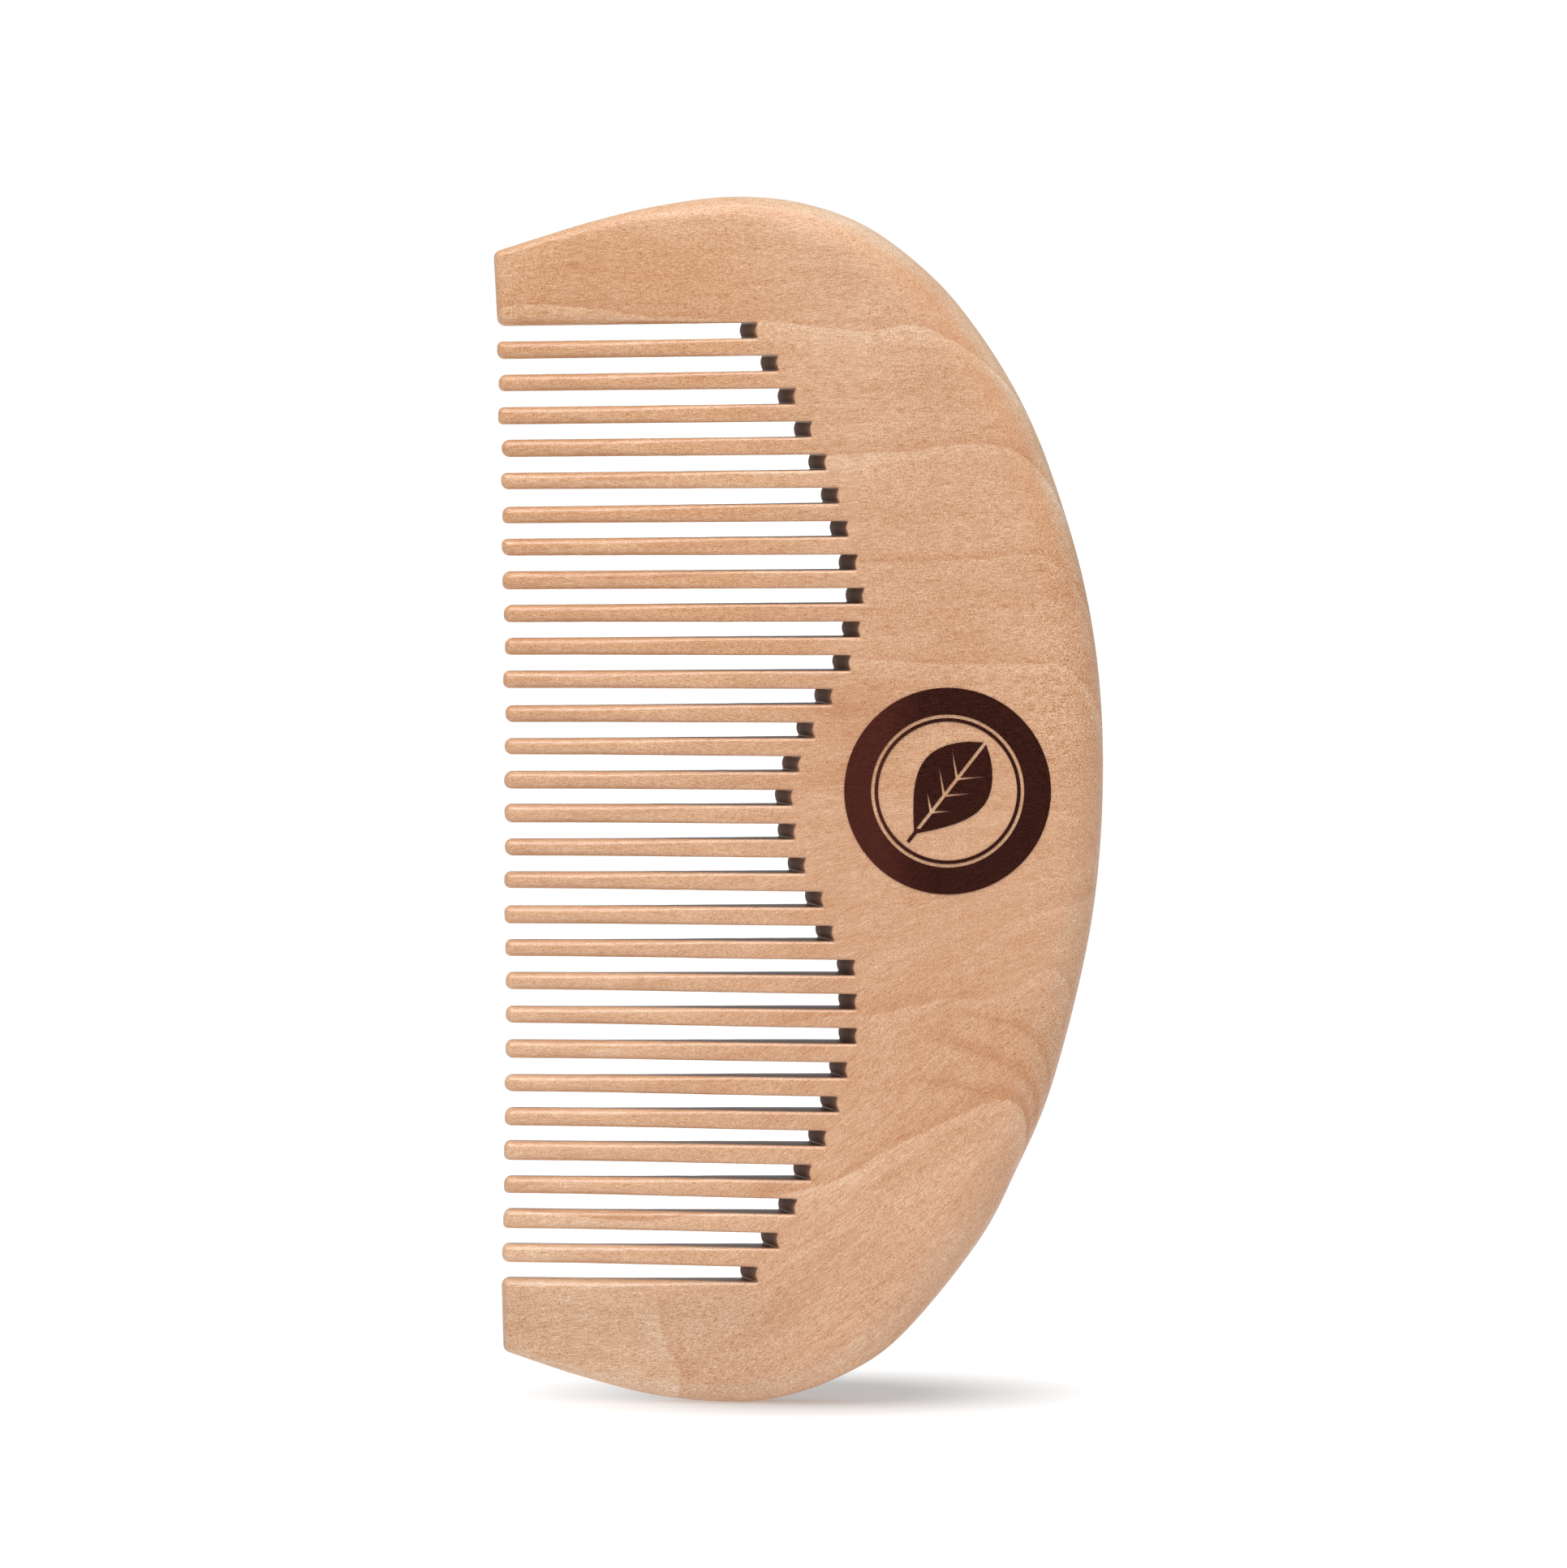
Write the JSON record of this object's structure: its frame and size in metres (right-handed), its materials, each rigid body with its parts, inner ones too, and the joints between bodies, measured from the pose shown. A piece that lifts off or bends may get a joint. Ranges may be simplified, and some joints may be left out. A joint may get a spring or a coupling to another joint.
{
  "type": "beard comb",
  "caption": "Half-moon pocket beard comb of pale wood, with fine straight teeth between two end guards, a rounded spine and a round dark print on its front face.",
  "frame": {"origin": "centre of the bounding box in X and Y, at the lowest point of the comb as it stands on its lower edge", "axes": "+Z along the comb's length, teeth pointing to -X, spine facing +X, printed front face facing -Y"},
  "size_m": [0.0606, 0.0091, 0.12],
  "materials": {
    "wood": "fine sanded, matt, lightly oiled",
    "ink": "dark brown printed ink, matt"
  },
  "bodies": {
    "root": {"back": "wood", "guard_upper": "wood", "guard_lower": "wood", "tooth_01": "wood", "tooth_02": "wood", "tooth_03": "wood", "tooth_04": "wood", "tooth_05": "wood", "tooth_06": "wood", "tooth_07": "wood", "tooth_08": "wood", "tooth_09": "wood", "tooth_10": "wood", "tooth_11": "wood", "tooth_12": "wood", "tooth_13": "wood", "tooth_14": "wood", "tooth_15": "wood", "tooth_16": "wood", "tooth_17": "wood", "tooth_18": "wood", "tooth_19": "wood", "tooth_20": "wood", "tooth_21": "wood", "tooth_22": "wood", "tooth_23": "wood", "tooth_24": "wood", "tooth_25": "wood", "tooth_26": "wood", "tooth_27": "wood", "tooth_28": "wood", "printed_ring": "ink", "printed_inner_ring": "ink", "printed_leaf_left": "ink", "printed_leaf_right": "ink"}
  },
  "joints": []
}
